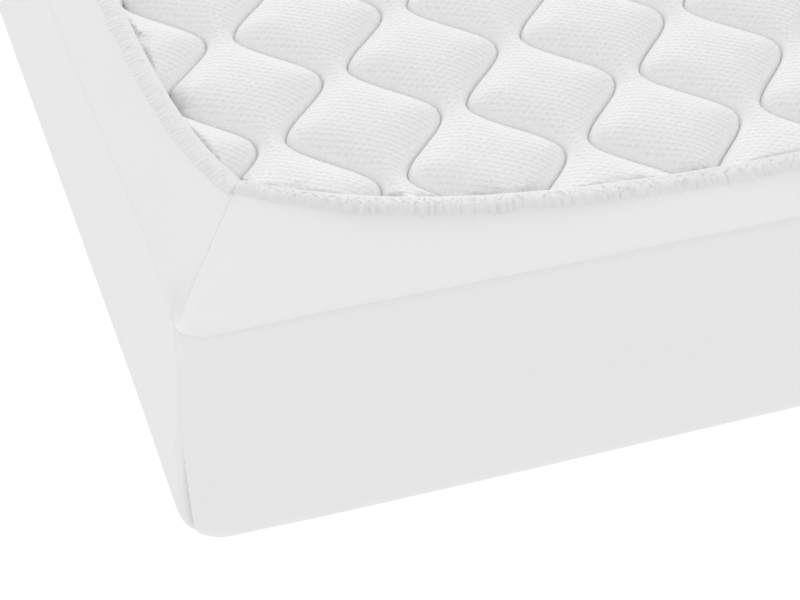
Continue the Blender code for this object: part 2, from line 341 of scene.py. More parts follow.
# Dark gaps where the quilting sinks beside the hem: depth, depth from which the mesh is
# finer, reach from the stitching with the band from the rim over which they end, and how
# far from the bed's middle line the long sides' values set in
GAP_DEPTH = 0.0125
GAP_LEAST = 0.0005
GAP_SHAPE = {SHORT: (0.0120, 0.0090, 0.0120), LONG: (0.0075, 0.0050, 0.0085)}
GAP_LONG_FROM = 0.355

# ---------------- finish of the cloths

# Tones of the jersey and the ticking, and the scale and detail of their slow drift
JERSEY_TONES = (0.806, 0.812)
TICKING_TONES = (0.825, 0.835)
TONE_NOISE = (6.0, 3.0)
TONE_PLACES = (0.3, 0.7)
JERSEY_ROUGHNESS = 0.88
TICKING_ROUGHNESS = 0.85
SPECULAR = 0.25
SHEEN = 0.05
SHEEN_ROUGHNESS = 0.6
# Jersey: wales and courses in radians per metre
WALES = 5700.0
COURSES = 7400.0
COURSE_SHARE = 0.5
JERSEY_DEPTH = 0.00001
# Fuzz and yarn: scale and detail, and depth on each cloth
FUZZ_NOISE = (900.0, 2.0)
FUZZ_DEPTH = 0.00012
YARN_DEPTH = 0.00020
# Honeycomb knit: waves per metre across and along the bed, and the share of each
KNIT_WAVES = ((101.5, 172.0, 1.2), (101.5, -172.0, 0.8), (203.0, 0.0, 0.3), (203.0, 344.0, 0.3))
KNIT_DRIFT = 0.0020
KNIT_DRIFT_SCALE = 260.0
DIMPLE_BAND = (-1.1, 1.6)
DIMPLE_DEPTH = 0.00020
# Painted shade: how much darker the base colour is made in the knit's dimples, standing in for
# the shade held in them
DIMPLE_PAINTED_SHADE = 0.071
PATCH_NOISE = (420.0, 1.0)
PATCH_LEVEL = 2.0
# Painted highlights: bright specks in the base colour where a loop of yarn stands up and
# catches the light
SPECK_SCALE = (330.0, 850.0, 1.0)
SPECK_NOISE = (1.0, 1.0)
SPECK_BAND = (0.54, 0.68)
SPECK_PAINTED_HIGHLIGHT = 0.085
# Heights on the quilting between which the knit, pulled smooth by the stitching, sets in
KNIT_BAND = (0.1925, 0.1955)

# ---------------- camera and light

CAMERA_PLACE = (-0.6699, -1.9373, 1.1081)
CAMERA_TURN = 21.43
CAMERA_FALL = 42.10
CAMERA_ROLL = 3.07
CAMERA_LENS = 91.86
CAMERA_SENSOR = 36.0

SKY_LEVEL = 0.931
SKY_SLANT = (0.03, 0.05, 0.0)
WINDOW_FROM = (0.08, 1.00, 0.195)
WINDOW_POWER = 1.10
WINDOW_SPREAD = 30
FLOOR_REACH = 8.0
FLOOR_TONE = 0.05
FLOOR_GLOW = 0.97
FLOOR_ROUGHNESS = 0.9


# ---------------- mesh helpers

def smooth(value, start, end):
    """0 to 1 with soft ends while the value goes from start to end."""
    share = np.clip((value - start) / (end - start), 0.0, 1.0)
    return share * share * (3 - 2 * share)


def mix(first, second, share):
    return first * (1 - share) + second * share


def bell(way, width):
    """1 where the way is 0, falling off evenly on both sides of it."""
    return np.exp(-(way / width) ** 2)


def curve_through(rows, steps):
    """Points on a smooth curve (Catmull-Rom) through the rows, ends included."""
    rows = np.asarray(rows, float)
    padded = np.vstack([2 * rows[0] - rows[1], rows, 2 * rows[-1] - rows[-2]])
    result = []
    for i in range(len(rows) - 1):
        a, b, c, d = padded[i:i + 4]
        for step in range(steps):
            t = step / steps
            result.append(0.5 * (
                2 * b + (c - a) * t
                + (2 * a - 5 * b + 4 * c - d) * t ** 2
                + (3 * b - a - 3 * c + d) * t ** 3
            ))
    result.append(rows[-1])
    return np.array(result)


def grid_faces(index):
    """Quads between neighbours in a grid that holds the number of each point."""
    corners = (index[:-1, :-1], index[:-1, 1:], index[1:, 1:], index[1:, :-1])
    return np.stack(corners, -1).reshape(-1, 4).tolist()


def add_piece(name, points, faces, uv, material, node):
    """Link one smooth mesh as a piece that stands for a node of the solids."""
    mesh = bpy.data.meshes.new(name)
    mesh.from_pydata(points, [], faces)
    layer = mesh.uv_layers.new(name="Cloth")
    corners = np.empty(len(mesh.loops), np.int32)
    mesh.loops.foreach_get("vertex_index", corners)
    layer.data.foreach_set("uv", np.asarray(uv, np.float32)[corners].ravel())
    mesh.materials.append(material)
    mesh.shade_smooth()
    piece = bpy.data.objects.new(name, mesh)
    bpy.context.scene.collection.objects.link(piece)
    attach(piece, "root")
    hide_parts(node)
    return piece


def apply_modifiers(piece):
    graph = bpy.context.evaluated_depsgraph_get()
    mesh = bpy.data.meshes.new_from_object(piece.evaluated_get(graph))
    piece.modifiers.clear()
    piece.data = mesh


# ---------------- outline of the bed

def corner_radius(height):
    return mix(FLOOR_RADIUS, UPPER_RADIUS, smooth(height, SHARPER_FROM, MARGIN_TOP))


def seam_angle(height):
    fall = (1 - np.clip(height / MARGIN_TOP, 0, 1)) ** SEAM_TURN
    return np.radians(mix(SEAM_ANGLE_TOP, SEAM_ANGLE_FLOOR, fall))


def outline(side, share, height):
    """Points and outward normals on the outline, by the share of the way from the side's
    first seam to its last, and the way to the nearer of the two seams."""
    is_short = side % 2 == 0
    radius = corner_radius(height)
    seam = seam_angle(height)
    lead = radius * np.where(is_short, np.pi / 2 - seam, seam)
    total = np.where(is_short, WIDTH, LENGTH) - 2 * radius + 2 * lead
    way = share * total
    from_seam = np.minimum(way, total - way)
    turned = np.minimum(from_seam, lead) / radius
    angle = np.where(is_short, seam + turned, seam - turned)
    straight = np.maximum(from_seam - lead, 0)
    from_long = radius * (1 - np.cos(angle)) + np.where(is_short, straight, 0)
    from_short = radius * (1 - np.sin(angle)) + np.where(is_short, 0, straight)
    signs = np.array(CORNER_SIGNS)[np.where(share <= 0.5, side, (side + 1) % 4)]
    half = np.array((WIDTH / 2, LENGTH / 2))
    place = signs * (half - np.stack(np.broadcast_arrays(from_long, from_short), -1))
    normal = signs * np.stack(np.broadcast_arrays(np.cos(angle), np.sin(angle)), -1)
    return place, normal, from_seam


def side_shares(side):
    """Shares of the way along a side for its sections, closest together by the seams."""
    total = SIDES[side][3]
    ways = [0.0]
    step = SEAM_FIRST_STEP
    while ways[-1] + step < total / 2 - step / 2:
        ways.append(ways[-1] + step)
        step = min(step * SEAM_STEP_GROWTH, WIDEST_STEP)
    ways.append(total / 2)
    ways += [total - way for way in reversed(ways[1:-1])]
    return [way / total for way in ways]


# ---------------- hem in plan

def hem_rim(side, fraction):
    """The hem's inner rim in plan, from one corner seam to the next."""
    (x, y), (ax, ay), (ix, iy), length = SIDES[side]
    is_short = side % 2 == 0
    start = HEM_CORNERS[side]
    end = HEM_CORNERS[(side + 1) % 4]
    along_start, in_start = start if is_short else start[::-1]
    along_end, in_end = end if is_short else end[::-1]
    ease = MARGIN_EASE[is_short]
    total = length - along_start - along_end
    from_start = total * fraction
    from_end = total - from_start
    sway = np.sin((HEM_SWAY_WAVE + side) * fraction + HEM_SWAY_PHASE * side)
    depth = MARGIN + HEM_SWAY * (np.sin(np.pi * fraction) * sway)
    depth = depth + (in_start - MARGIN) * np.exp(-from_start / ease)
    depth = depth + (in_end - MARGIN) * np.exp(-from_end / ease)
    along = along_start + from_start
    return np.stack([x + ax * along + ix * depth, y + ay * along + iy * depth], -1)


def hem_outward(side, fraction):
    """Unit vectors in plan, square to the hem and away from the opening."""
    step = RIM_STEP / 2
    run = hem_rim(side, np.minimum(fraction + step, 1.0))
    run = run - hem_rim(side, np.maximum(fraction - step, 0.0))
    run = run / np.linalg.norm(run, axis=-1, keepdims=True)
    outward = np.stack([run[..., 1], -run[..., 0]], -1)
    way = fraction * SIDES[side][3]
    to_end = SIDES[side][3] - way
    for corner, from_seam in ((side, way), ((side + 1) % 4, to_end)):
        share = smooth(from_seam, HEM_MITRE, 0.0)[..., None]
        outward = mix(outward, seam_outward(corner), share)
    return outward


def seam_outward(corner):
    """At a corner seam the hem's two ends meet on the line between their directions."""
    both = []
    for side, ends in (((corner - 1) % 4, (1.0 - RIM_STEP, 1.0)), (corner, (0.0, RIM_STEP))):
        first, last = (hem_rim(side, np.float64(end)) for end in ends)
        run = (last - first) / np.linalg.norm(last - first)
        both.append(np.array([run[1], -run[0]]))
    mid = both[0] + both[1]
    return mid / (np.linalg.norm(mid) ** 2 / 2)


def inside_rim(x, y):
    """Distance of points in plan from the hem's inner rim, over 0 inside the opening."""
    nearest = np.full(np.shape(x), np.inf)
    for side in range(4):
        (start_x, start_y), (ax, ay), (ix, iy), length = SIDES[side]
        along = (x - start_x) * ax + (y - start_y) * ay
        depth = (x - start_x) * ix + (y - start_y) * iy
        is_short = side % 2 == 0
        first = HEM_CORNERS[side][0 if is_short else 1]
        last = HEM_CORNERS[(side + 1) % 4][0 if is_short else 1]
        fraction = (along - first) / (length - first - last)
        rims = []
        for shift in (0.0, RIM_STEP):
            rim = hem_rim(side, np.clip(fraction + shift, 0.0, 1.0))
            rims.append((rim[..., 0] - start_x) * ix + (rim[..., 1] - start_y) * iy)
        slope = (rims[1] - rims[0]) / (RIM_STEP * length)
        nearest = np.minimum(nearest, (depth - rims[0]) / np.sqrt(1 + slope ** 2))
    return nearest


# ---------------- the sheet

def band(height, low, high, edge):
    """1 between two heights, fading to 0 over the distance edge inside each."""
    return smooth(height, low, low + edge) * smooth(height, high, high - edge)


def tuck_depth(height):
    """Depth of the seam's tuck: none above TUCK_TOP, full at TUCK_FULL, closed at the floor."""
    upper = np.clip((TUCK_TOP - height) / (TUCK_TOP - TUCK_FULL), 0, 1)
    return TUCK_DEPTH * upper * smooth(height, 0, TUCK_FLOOR)


def seam_shape(from_seam, height):
    """Inset of the cloth by a corner seam; from_seam is under 0 on the long side."""
    reach = mix(*TUCK_REACH, np.clip(1 - height / TUCK_TOP, 0, 1))
    depth = tuck_depth(height)
    pocket = np.exp(-(np.abs(np.minimum(from_seam, 0)) / reach) ** TUCK_CURVE)
    wall = np.exp(-np.maximum(from_seam, 0) / TUCK_WALL)
    inset = depth * np.where(from_seam < 0, pocket, wall)
    lip = TUCK_LIP * (depth / TUCK_DEPTH) * np.exp(-from_seam / TUCK_LIP_REACH)
    inset = inset - np.where(from_seam > TUCK_WALL, lip, 0)
    hollow = SEAM_HOLLOW * band(height, *SEAM_HOLLOW_BAND)
    groove = SEAM_GROOVE * band(height, *SEAM_GROOVE_BAND)
    inset = inset + hollow * bell(from_seam, SEAM_HOLLOW_WIDTH)
    return inset + groove * bell(from_seam, SEAM_GROOVE_WIDTH)


def sheet_columns():
    """Side and share of the way along it of each section round the sheet."""
    columns = [(side, share) for side in range(4) for share in side_shares(side)[:-1]]
    side, share = zip(*columns)
    return np.array(side), np.array(share)


def fall_by_seam(from_seam, inwards):
    """How far the margin drops by a seam, by the share of the way in to the hem."""
    hollow = FLAP_HOLLOW * np.exp(np.minimum(from_seam, 0) / FLAP_HOLLOW_REACH)
    groove = FLAP_GROOVE * bell(from_seam, SEAM_GROOVE_WIDTH)
    full = smooth(inwards, 0, FLAP_FULL_FROM)
    return groove * full + hollow * (from_seam <= 0) * mix(FLAP_HOLLOW_LEAST, 1.0, full)


def corner_valley(place):
    """Drop of the margin in the shallow valley that runs in from each corner."""
    past_long, from_short = VALLEY_PLACE
    least, full_from = VALLEY_START
    drop = np.zeros(place.shape[:-1])
    for sign_x, sign_y in CORNER_SIGNS:
        start = np.array((sign_x * (WIDTH / 2 + past_long), sign_y * (LENGTH / 2 - from_short)))
        run = np.array((-sign_x * VALLEY_SLANT, -sign_y))
        run = run / np.linalg.norm(run)
        along = (place - start) @ run
        beside = (place - start) @ np.array((-run[1], run[0]))
        fade = smooth(along, VALLEY_LENGTH, 0) * mix(least, 1.0, smooth(along, 0, full_from))
        width = mix(*VALLEY_WIDTH, np.clip(along / VALLEY_LENGTH, 0, 1))
        drop += VALLEY_DEPTH * fade * bell(beside, width)
    return drop


def edge_line(is_short, from_seam, into):
    """Inset of the line pressed into the cloth along a long side's upper edge."""
    fade = smooth(from_seam, *EDGE_LINE_BAND) * ~is_short
    return EDGE_LINE * fade * bell(into - EDGE_LINE_PLACE, EDGE_LINE_WIDTH)


def sheet_section(from_seam):
    """Inset, height and way in over the edge, for the rows of the sides and of the rounded
    upper edge, at these ways from a corner seam."""
    sides = curve_through(SIDE_SECTION, SECTION_STEPS)
    edge = curve_through(EDGE_SECTION, EDGE_STEPS)
    corner = smooth(from_seam, UPPER_RADIUS + CORNER_REACH, UPPER_RADIUS)
    edge_corner = EDGE_CORNER_SHARE * bell(from_seam, EDGE_CORNER_REACH)
    inset = mix(sides[:, 0:1], sides[:, 2:3], corner)
    height = mix(sides[:, 1:2], sides[:, 3:4], corner)
    into = mix(edge[:, 0:1], edge[:, 2:3], edge_corner)
    fall = mix(edge[:, 1:2], edge[:, 3:4], edge_corner)
    edge_height = np.maximum(EDGE_HEIGHT - fall, height[-1:] + EDGE_LEAST_RISE)
    return (
        np.vstack([inset, np.repeat(inset[-1:], len(edge), 0)]),
        np.vstack([height, edge_height]),
        np.vstack([np.zeros((len(sides), len(from_seam))), into]),
    )


def stands_out(is_short, normal, from_seam, height):
    """How far the sides stand out from the bed's box: towards the foot, in the bow of the
    upper edge between the corners, and at each corner's top."""
    lean = mix(LEAN_BY_CORNER, 1.0, smooth(from_seam, 0, LEAN_REACH))
    push = LONG_FOOT_PUSH * bell(from_seam, LONG_FOOT_REACH)
    foot = SHORT_SIDE_LEAN * lean * normal[..., 1] ** 2 + push * normal[..., 0] ** 2
    bow, bow_reach = np.array([EDGE_BOW[bool(short)] for short in is_short]).T
    edge = bow * (1 - np.exp(-from_seam / bow_reach))
    edge = edge + SHORT_PUSH * (1 - np.exp(-from_seam / SHORT_PUSH_REACH)) * is_short
    point = CORNER_POINT * bell(from_seam, CORNER_POINT_REACH)
    out = foot * (1 - height / MARGIN_TOP) + edge * smooth(height, EDGE_BOW_FROM, MARGIN_TOP)
    return out + point * smooth(height, CORNER_POINT_FROM, MARGIN_TOP)


def side_sway(side, share, height):
    """Slow unevenness of the sides, none at the seams, the floor and the margin."""
    way = share * np.where(side % 2 == 0, WIDTH, LENGTH)
    slow, quick, finest = SIDE_SWAY_WAVES
    sway = np.sin(slow * way + side) + np.sin(quick * way)
    sway = sway + SIDE_SWAY_FINEST * np.sin(finest * way + side)
    bulge = np.sin(np.pi * np.clip(height / MARGIN_TOP, 0, 1))
    return SIDE_SWAY * np.sin(np.pi * share) * bulge * sway


def margin_end(side, share):
    """Where the margin ends under the hem, in plan."""
    end = np.empty((len(side), 2))
    for k in range(4):
        here = side == k
        end[here] = hem_rim(k, share[here]) + hem_outward(k, share[here]) * MARGIN_END
    return end


def sheet_sides(side, share, end):
    """Places in plan, heights and ways in over the edge of the sides' rows."""
    is_short = side % 2 == 0
    _, _, from_seam = outline(side, share, MARGIN_TOP)
    inset, height, into = sheet_section(from_seam)
    place, normal, from_seam = outline(side, share, height)
    signed = np.where(is_short, from_seam, -from_seam)
    inset = inset - stands_out(is_short, normal, from_seam, height)
    inset = inset + side_sway(side, share, height)
    inset = inset + seam_shape(signed, height) * (into < SEAM_TO)
    inset = inset + edge_line(is_short, from_seam, into)
    xy = place - normal * inset[..., None]
    run = end[None] - xy
    run = run / np.linalg.norm(run, axis=-1, keepdims=True)
    return xy + run * into[..., None], height, into


def sheet_margin(side, share, edge, end):
    """Places in plan, heights and shares of the way in of the turned-in margin's rows."""
    steps = np.arange(1, MARGIN_ROWS + 1)[:, None] / MARGIN_ROWS
    xy = edge[None] + (end - edge)[None] * steps[..., None]
    way = share * np.where(side % 2 == 0, WIDTH, LENGTH)
    slow, quick = MARGIN_WAVES
    wave = np.sin(quick * way + 2 * side) * np.sin(slow * way) * np.sin(np.pi * steps)
    height = mix(EDGE_HEIGHT, MARGIN_TOP, steps) + MARGIN_WAVE * wave
    return xy, height, np.broadcast_to(steps, height.shape)


def cloth_uv(side, share, points):
    """UV in metres: the way round the foot of the sides, and the way up the section."""
    foot, _, _ = outline(side, share, 0.0)
    around = np.cumsum(np.linalg.norm(np.diff(foot, axis=0, prepend=foot[:1]), axis=1))
    run = np.linalg.norm(np.diff(points, axis=0), axis=-1)
    up = np.concatenate([np.zeros((1, len(side))), np.cumsum(run, 0)])
    return np.stack([np.broadcast_to(around, up.shape), up], -1).reshape(-1, 2)


def build_sheet(material):
    side, share = sheet_columns()
    end = margin_end(side, share)
    sides_xy, sides_z, into = sheet_sides(side, share, end)
    margin_xy, margin_z, steps = sheet_margin(side, share, sides_xy[-1], end)
    xy = np.concatenate([sides_xy, margin_xy])
    z = np.concatenate([sides_z, margin_z])
    _, _, from_seam = outline(side, share, MARGIN_TOP)
    signed = np.where(side % 2 == 0, from_seam, -from_seam)
    on_top = np.concatenate([smooth(into, 0, HOLLOWS_FROM), np.ones_like(margin_z)])
    inwards = np.concatenate([np.zeros_like(sides_z), steps])
    z = z - on_top * (fall_by_seam(signed, inwards) + corner_valley(xy))
    points = np.concatenate([xy, z[..., None]], -1)

    index = np.arange(z.size).reshape(z.shape)
    faces = grid_faces(np.hstack([index, index[:, :1]]))
    faces.append(index[0, ::-1].tolist())
    uv = cloth_uv(side, share, points)
    piece = add_piece("fitted_sheet", points.reshape(-1, 3), faces, uv, material, "sheet")
    shell = piece.modifiers.new("cloth thickness", "SOLIDIFY")
    shell.thickness = CLOTH
    shell.offset = -1.0
    apply_modifiers(piece)
    return piece


# ---------------- the elastic hem

def hem_width(is_short, from_seam):
    full = smooth(from_seam, 0, HEM_WIDTH_REACH)
    return mix(HEM_WIDTH_CORNER[is_short], HEM_WIDTH[is_short], full)


def knots_along(way, pitch, chance):
    """Random places a pitch or so apart, and the last of them before each way."""
    low, high = pitch
    knots = np.cumsum(chance.uniform(low, high, int(way[-1] / low) + 2))
    knots = np.concatenate([[0.0], knots])
    return knots, np.searchsorted(knots, way, side="right") - 1


def uneven(way, pitch, size, chance):
    """Smooth random values along a way, with a new one every pitch or so."""
    knots, which = knots_along(way, pitch, chance)
    values = chance.normal(0.0, size, len(knots))
    step = smooth(way, knots[which], knots[which + 1])
    return mix(values[which], values[which + 1], step)


def gathers(way, pitch, chance):
    """Rounded bulges side by side along a way, each 0 at its ends."""
    knots, which = knots_along(way, pitch, chance)
    sizes = chance.uniform(*GATHER_SIZES, len(knots))
    along = (way - knots[which]) / (knots[which + 1] - knots[which])
    return sizes[which] * np.sin(np.pi * along)


def pucker_field(way, share, kind, chance):
    """Depth of one kind of small puckers over a hem, slight and deep ones mixed."""
    (low, high), greatest, middles, reaches, widths, spread = kind
    ridge, ridge_width = PUCKER_RIDGE
    field = np.zeros((len(share), len(way)))
    place = 0.0
    while place < way[-1]:
        place += chance.uniform(low, high)
        middle, reach = chance.uniform(*middles), chance.uniform(*reaches)
        depth = greatest * chance.beta(*PUCKER_MIX)
        width = chance.uniform(*widths)
        slant = chance.normal(0.0, spread)
        reached = PUCKER_REACH * width
        first, last = np.searchsorted(way, (place - reached, place + reached))
        across = (share - middle) / reach
        beside = (way[first:last] - place - slant * across) / width
        crease = bell(beside, 1.0) - ridge * bell(beside, ridge_width)
        field[:, first:last] += depth * crease * bell(across, 1.0)
    return field


def hem_way(side):
    """Ways along a hem's rim, close together, from one corner seam to the next."""
    rim = hem_rim(side, np.linspace(0, 1, RIM_SAMPLES))
    total = float(np.linalg.norm(np.diff(rim, axis=0), axis=1).sum())
    return np.linspace(0.0, total, int(total / HEM_SAMPLE))


def hem_roll(is_short, from_end):
    """How far the hem is rolled up, from 0 to 1: never on the long sides."""
    flatter = (1 - HEM_ROLL_LEAST) * smooth(from_end, *HEM_ROLL_END)
    return smooth(from_end, 0, HEM_ROLL_REACH) * (1 - flatter) * is_short


def hem_stitches(way, share):
    """Depth of the row of stitches along the elastic."""
    stitch = STITCH_DEPTH * np.cos(2 * np.pi * way / STITCH_PITCH)
    return stitch * bell(share - STITCH_LINE, STITCH_WIDTH)


def build_hem(side, material):
    """One side's stretch of the gathered elastic hem, a closed band over the margin."""
    chance = np.random.RandomState(HEM_SEED + side)
    is_short = side % 2 == 0
    way = hem_way(side)
    fraction = way / way[-1]
    from_end = np.minimum(way, way[-1] - way)
    settled = smooth(from_end, 0, HEM_SETTLED)
    rolled = hem_roll(is_short, from_end)

    rows = curve_through(HEM_SECTION, HEM_STEPS[is_short])
    share, loose = rows[:, 0:1], rows[:, 3:4]
    level = mix(rows[:, 2:3], rows[:, 1:2], rolled)
    gather = (gathers(way, GATHER_PITCH[is_short], chance) - GATHER_MEAN) * settled
    gather = gather * mix(GATHER_FLAT, 1.0, rolled if is_short else 1.0)
    width = hem_width(is_short, from_end)
    width = width + uneven(way, WIDTH_PITCH, WIDTH_DRIFT, chance) * settled
    offset = share * (width + SCALLOP[is_short] * gather * smooth(share, 0, SCALLOP_FULL))
    bulge = GATHER_HEIGHT[is_short] * gather * smooth(share, *GATHER_BAND)
    sunk = sum(pucker_field(way, share, kind, chance) for kind in PUCKERS[is_short])
    sunk = (hem_stitches(way, share) + sunk) * settled
    drop = HEM_END_DROP * np.exp(-from_end / HEM_END_REACH)
    height = level + (loose * (bulge - sunk) - drop) * (level > 0)

    xy = hem_rim(side, fraction) + hem_outward(side, fraction) * offset[..., None]
    points = np.concatenate([xy, MARGIN_TOP + height[..., None]], -1)
    index = np.arange(height.size).reshape(height.shape)
    faces = grid_faces(np.vstack([index, index[:1]]))
    faces += [index[:, 0].tolist(), index[::-1, -1].tolist()]
    uv = np.stack(np.broadcast_arrays(way, offset), -1).reshape(-1, 2)
    name = ("hem_front", "hem_right", "hem_back", "hem_left")[side]
    return add_piece(name, points.reshape(-1, 3), faces, uv, material, "sheet")


# ---------------- the mattress

def zigzag(phase):
    """Rounded zigzag of period 1, +1 at whole numbers and -1 half way between them."""
    bend = np.arcsin(LINE_ROUNDNESS * np.cos(2 * np.pi * phase))
    return bend / math.asin(LINE_ROUNDNESS)


def vary(size, waves, y, number):
    """Slow unevenness along the bed, different for each line or lane."""
    for along, by_number in waves:
        size = size * np.sin(along * y + by_number * number)
    return size


def stitch_line(index, y):
    """Where stitched line number index crosses each y."""
    middle = FIRST_NECK[0] + (index - 0.5) * CELL_ACROSS / 2
    swing = CELL_ACROSS / 4 - NECK_WIDTH / 2
    start = FIRST_NECK[1] + QUILT_SKEW * (middle - FIRST_NECK[0])
    stagger = NECK_STAGGER * (1 - 2 * (index % 2))
    phase = (y - start - stagger) / CELL_ALONG + index % 2 / 2
    line = middle + swing * zigzag(phase) + vary(LINE_WANDER, LINE_WAVES, y, index)
    return np.clip(line, -LINE_LIMIT, LINE_LIMIT)


def stitching(x, y):
    """Way to the nearest stitched line, the number of lines on the -X side, and the way
    across between the lines on both sides."""
    nearest = np.full(x.shape, np.inf)
    lane = np.zeros(x.shape)
    left, right = np.full(x.shape, -np.inf), np.full(x.shape, np.inf)
    for index in range(LINE_COUNT):
        line = stitch_line(index, y)
        run = stitch_line(index, y + LINE_STEP) - stitch_line(index, y - LINE_STEP)
        slant = run / (2 * LINE_STEP)
        nearest = np.minimum(nearest, np.abs(x - line) / np.sqrt(1 + slant ** 2))
        lane += x > line
        left = np.where(x > line, line, left)
        right = np.where(x > line, right, np.minimum(right, line))
    return nearest, lane, right - left


def gap_by_hem(x, y, stitches):
    """How far the quilting sinks beside the rim: where the stitched lines draw together,
    and by the long sides anywhere between the outermost lines."""
    nearest, lane, across = stitches
    inside = inside_rim(x, y)
    by_long = np.abs(x) > GAP_LONG_FROM
    cell = np.where(by_long, (lane > 0) & (lane < LINE_COUNT), across < CELL_ACROSS / 2)
    shapes = zip(GAP_SHAPE[LONG], GAP_SHAPE[SHORT])
    reach, wall, end = (np.where(by_long, *values) for values in shapes)
    return GAP_DEPTH * cell * bell(nearest, reach) * (1 - smooth(inside, wall, end))


def quilt_height(x, y):
    """Height of the quilted face: slits along the stitching, arched cells between them,
    and all of it pressed down under the elastic hem."""
    stitches = stitching(x, y)
    nearest, lane, _ = stitches
    crown = CROWN_RISE + vary(CROWN_VARIETY, CROWN_WAVES, y, lane)
    arch = crown * (1 - (1 - np.minimum(nearest / CROWN_REACH, 1.0)) ** CROWN_CURVE)
    slit = SLIT_DEPTH * (1 - np.exp(-nearest / SLIT_WIDTH))
    inside = inside_rim(x, y)
    pressed = PRESSED_HEIGHT + SHOULDER_RISE * smooth(inside, *SHOULDER)
    pressed = pressed - COVERED_FALL * smooth(inside, 0, -COVERED_REACH)
    face = np.minimum(GROOVE_HEIGHT + slit + arch, pressed)
    return face - gap_by_hem(x, y, stitches)


def quilt_grid():
    """Places in plan of the quilted face: rows along the bed, columns on the lines."""
    rows = np.arange(FIRST_ROW, LAST_ROW + 1)
    y = FIRST_NECK[1] + rows * CELL_ALONG / ROWS_PER_CELL
    lines = [stitch_line(index, y) for index in range(LINE_COUNT)]
    columns = [mix(-QUILT_HALF_WIDTH, lines[0], step) for step in EDGE_LANE_STEPS]
    for left, right in zip(lines, lines[1:]):
        columns += [mix(left, right, step) for step in LANE_STEPS]
    columns.append(lines[-1])
    columns += [mix(QUILT_HALF_WIDTH, lines[-1], step) for step in EDGE_LANE_STEPS[::-1]]
    x = np.array(columns).T
    return x, np.broadcast_to(y[:, None], x.shape)


def refine_by_rim(builder):
    """Split the faces beside the hem's rim, where the quilting is creased, and round the
    gaps in it; twice where the rim presses."""
    for cuts, round_gaps in FINER_CUTS:
        builder.faces.ensure_lookup_table()
        middles = np.array([face.calc_center_median()[:2] for face in builder.faces])
        inside = inside_rim(middles[:, 0], middles[:, 1])
        close = (inside > RIM_BAND[0]) & (inside < RIM_BAND[1])
        if round_gaps:
            gap = gap_by_hem(middles[:, 0], middles[:, 1], stitching(*middles.T))
            close |= (inside > 0) & (gap > GAP_LEAST)
        faces = [builder.faces[index] for index in np.flatnonzero(close)]
        edges = {edge for face in faces for edge in face.edges}
        bmesh.ops.subdivide_edges(builder, edges=list(edges), cuts=cuts, use_grid_fill=True)


def mattress_ring(inset):
    """The mattress's outline in plan, rounded at its corners."""
    ring = []
    reach = MATTRESS_RADIUS - inset
    for corner, (sign_x, sign_y) in enumerate(CORNER_SIGNS):
        for step in range(MATTRESS_CORNER_STEPS + 1):
            angle = math.pi / 2 * step / MATTRESS_CORNER_STEPS
            if corner % 2 == 1:
                angle = math.pi / 2 - angle
            x = WIDTH / 2 - MATTRESS_INSET - MATTRESS_RADIUS + reach * math.cos(angle)
            y = LENGTH / 2 - MATTRESS_INSET - MATTRESS_RADIUS + reach * math.sin(angle)
            ring.append((sign_x * x, sign_y * y))
    return ring


def add_quilted_face(builder):
    x, y = quilt_grid()
    verts = [builder.verts.new((*place, 0.0)) for place in zip(x.ravel(), y.ravel())]
    for face in grid_faces(np.arange(x.size).reshape(x.shape)):
        builder.faces.new([verts[index] for index in face])
    refine_by_rim(builder)
    places = np.array([vertex.co[:2] for vertex in builder.verts])
    heights = quilt_height(places[:, 0], places[:, 1])
    for vertex, height in zip(builder.verts, heights):
        vertex.co.z = BORDER_HEIGHT if vertex.is_boundary else height


def add_mattress_sides(builder):
    rings = []
    for inset, height in MATTRESS_SECTION:
        rings.append([builder.verts.new((x, y, height)) for x, y in mattress_ring(inset)])
    for upper, lower in zip(rings, rings[1:]):
        for i in range(len(upper)):
            j = (i + 1) % len(upper)
            builder.faces.new((lower[i], lower[j], upper[j], upper[i]))
    builder.faces.new(rings[-1][::-1])


def build_mattress(material):
    """The quilted face and the sides, joined by a flat border under the margin."""
    builder = bmesh.new()
    add_quilted_face(builder)
    add_mattress_sides(builder)
    open_edges = [edge for edge in builder.edges if edge.is_boundary]
    bmesh.ops.triangle_fill(builder, edges=open_edges, use_beauty=True)
    bmesh.ops.recalc_face_normals(builder, faces=builder.faces)
    builder.verts.index_update()
    points = np.array([vertex.co[:] for vertex in builder.verts])
    faces = [[vertex.index for vertex in face.verts] for face in builder.faces]
    builder.free()
    return add_piece(
        "quilted_mattress", points, faces, points[:, :2], material, "mattress")


# ---------------- materials

